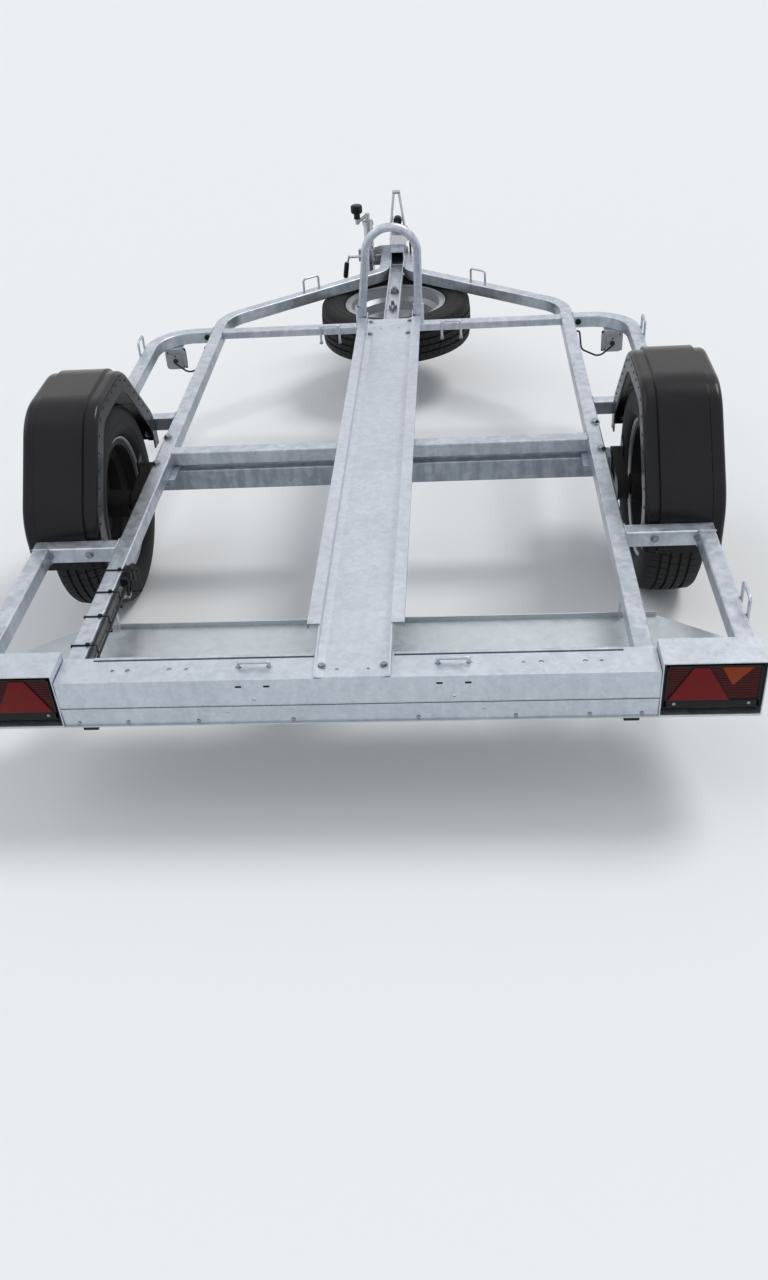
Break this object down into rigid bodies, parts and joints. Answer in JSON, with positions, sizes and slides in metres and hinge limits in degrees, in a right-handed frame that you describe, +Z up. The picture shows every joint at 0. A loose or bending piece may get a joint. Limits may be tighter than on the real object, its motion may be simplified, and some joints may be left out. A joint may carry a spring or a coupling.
{
  "type": "motorcycle trailer",
  "caption": "Single-axle motorcycle trailer: galvanised tube frame with one wheel channel and hoop, black mudguards, spare wheel, jockey wheel and ball coupling.",
  "frame": {"origin": "on the ground, below the middle of the bounding box", "axes": "+Y forwards to the coupling, +X to the right seen from behind, +Z up"},
  "size_m": [1.704, 2.8484, 0.6939],
  "materials": {
    "galvanised_tube": "hot-dip galvanised, cool grey with streaks",
    "galvanised_sheet": "smooth galvanised sheet",
    "rim_steel": "silver paint",
    "tyre": "matt black rubber",
    "black_plastic": "glossy black",
    "black_paint": "satin black paint",
    "bright_steel": "bright zinc plate",
    "grey_plastic": "grey moulding",
    "lamp_red": "clear red lens",
    "cable": "smooth black sheath",
    "rubber": "matt black"
  },
  "bodies": {
    "frame": {"side_rail_right": "galvanised_tube", "side_rail_left": "galvanised_tube", "rear_beam": "galvanised_sheet", "rear_shelf": "galvanised_sheet", "shelf_straps": "galvanised_sheet", "lamp_boxes": "galvanised_sheet", "tail_lamp_bodies": "black_plastic", "tail_lamp_lenses": "lamp_red", "front_crossmember": "galvanised_tube", "mid_crossmember": "galvanised_tube", "outriggers": "galvanised_tube", "side_bars_rear": "galvanised_tube", "side_bar_front_right": "galvanised_tube", "side_bar_front_left": "galvanised_tube", "wheel_channel": "galvanised_sheet", "hoop": "galvanised_tube", "hoop_sleeves": "galvanised_tube", "drawbar_beam": "galvanised_sheet", "beam_clip": "galvanised_sheet", "nose_box": "galvanised_tube", "coupling_head": "bright_steel", "coupling_handle": "bright_steel", "parked_plug": "black_plastic", "plug_cable": "cable", "axle_beam": "galvanised_tube", "axle_pads": "galvanised_tube", "swing_arm_right": "black_paint", "swing_arm_left": "black_paint", "mudguard_right": "black_plastic", "mudguard_left": "black_plastic", "spare_rim": "rim_steel", "spare_tyre": "tyre", "spare_holder": "bright_steel", "jockey_clamp": "bright_steel", "jockey_clamp_lever": "bright_steel", "lashing_loops": "galvanised_tube", "marker_lamps": "grey_plastic", "marker_tabs": "galvanised_tube", "marker_cables": "cable", "rail_wiring": "cable", "junction": "black_plastic", "cable_ties": "black_plastic", "rubber_feet": "rubber"},
    "wheel_right": {"hub_right": "black_paint", "rim_right": "rim_steel", "tyre_right": "tyre"},
    "wheel_left": {"hub_left": "black_paint", "rim_left": "rim_steel", "tyre_left": "tyre"},
    "jockey_body": {"jockey_tube": "bright_steel", "jockey_crank": "bright_steel", "jockey_knob": "black_plastic"},
    "jockey_leg": {"jockey_leg": "bright_steel"},
    "jockey_swivel": {"jockey_fork": "bright_steel"},
    "jockey_roller": {"jockey_wheel": "rubber"}
  },
  "joints": [
    {"name": "wheel_right_spin", "type": "hinge", "parent": "frame", "child": "wheel_right", "pos_m": [0.757, -0.5082, 0.2735], "axis": [1, 0, 0], "continuous": true},
    {"name": "wheel_left_spin", "type": "hinge", "parent": "frame", "child": "wheel_left", "pos_m": [-0.757, -0.5082, 0.2735], "axis": [1, 0, 0], "continuous": true},
    {"name": "jockey_clamp_slide", "type": "slide", "parent": "frame", "child": "jockey_body", "axis": [0, 0, 1], "range_m": [0, 0.09]},
    {"name": "jockey_screw", "type": "slide", "parent": "jockey_body", "child": "jockey_leg", "axis": [0, 0, 1], "range_m": [-0.08, 0.02]},
    {"name": "jockey_swivel", "type": "hinge", "parent": "jockey_leg", "child": "jockey_swivel", "pos_m": [-0.11, 1.2598, 0.18], "axis": [0, 0, 1], "continuous": true},
    {"name": "jockey_wheel_spin", "type": "hinge", "parent": "jockey_swivel", "child": "jockey_roller", "pos_m": [-0.11, 1.2298, 0.08], "axis": [1, 0, 0], "continuous": true}
  ]
}
